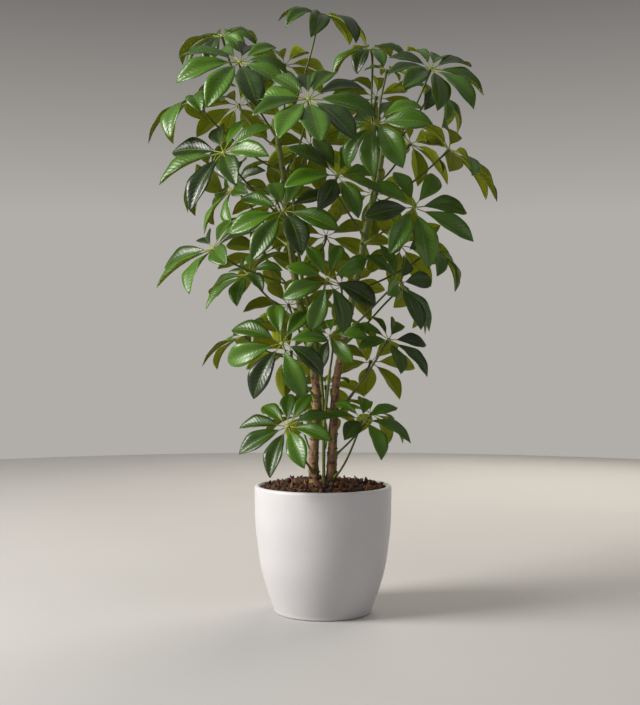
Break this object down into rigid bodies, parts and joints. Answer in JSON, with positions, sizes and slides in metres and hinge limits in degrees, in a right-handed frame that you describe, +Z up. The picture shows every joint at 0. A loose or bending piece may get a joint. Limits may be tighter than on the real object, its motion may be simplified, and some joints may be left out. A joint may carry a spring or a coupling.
{
  "type": "potted umbrella plant",
  "caption": "Indoor umbrella plant with two slim trunks and drooping compound leaves, planted in a plain round pot that tapers towards its base.",
  "frame": {"origin": "centre of the pot's flat base, on the surface that it stands on", "axes": "+Z up along the pot's axis, -Y towards the front, +X to the right as seen from the front"},
  "size_m": [0.5068, 0.3777, 0.8959],
  "materials": {
    "pot_plastic": "satin",
    "potting_soil": "matte",
    "bark": "matte",
    "green_stem": "satin",
    "leaf": "satin"
  },
  "bodies": {
    "root": {"leaf_bottom_back": "leaf", "leaf_bottom_left": "leaf", "leaf_bottom_middle": "leaf", "leaf_bottom_right": "leaf", "leaf_bottom_right_back": "leaf", "leaf_centre": "leaf", "leaf_centre_left": "leaf", "leaf_centre_low": "leaf", "leaf_centre_lower": "leaf", "leaf_centre_right": "leaf", "leaf_crown_back": "leaf", "leaf_crown_right_back": "leaf", "leaf_far_left": "leaf", "leaf_left_low": "leaf", "leaf_left_low_back": "leaf", "leaf_left_lower": "leaf", "leaf_left_lower_back": "leaf", "leaf_left_middle": "leaf", "leaf_left_middle_back": "leaf", "leaf_low_back": "leaf", "leaf_low_middle_back": "leaf", "leaf_low_right_back": "leaf", "leaf_lower_back": "leaf", "leaf_lower_left_back": "leaf", "leaf_lower_right_back": "leaf", "leaf_middle_left_back": "leaf", "leaf_middle_right_back": "leaf", "leaf_right": "leaf", "leaf_right_crown": "leaf", "leaf_right_crown_back": "leaf", "leaf_right_low": "leaf", "leaf_right_low_back": "leaf", "leaf_right_lower": "leaf", "leaf_right_middle": "leaf", "leaf_right_middle_back": "leaf", "leaf_shoulder_back": "leaf", "leaf_shoulder_left_back": "leaf", "leaf_shoulder_right_back": "leaf", "leaf_top_centre": "leaf", "leaf_top_left": "leaf", "leaf_top_right": "leaf", "leaf_upper_centre": "leaf", "leaf_upper_left": "leaf", "leaf_upper_left_back": "leaf", "leaf_waist_back": "leaf", "leaf_waist_left_back": "leaf", "leaf_waist_right_back": "leaf", "leaf_young_right": "leaf", "left_trunk": "bark", "middle_stem": "green_stem", "pot": "pot_plastic", "right_trunk": "bark", "slim_stem": "green_stem", "soil": "potting_soil"}
  },
  "joints": []
}
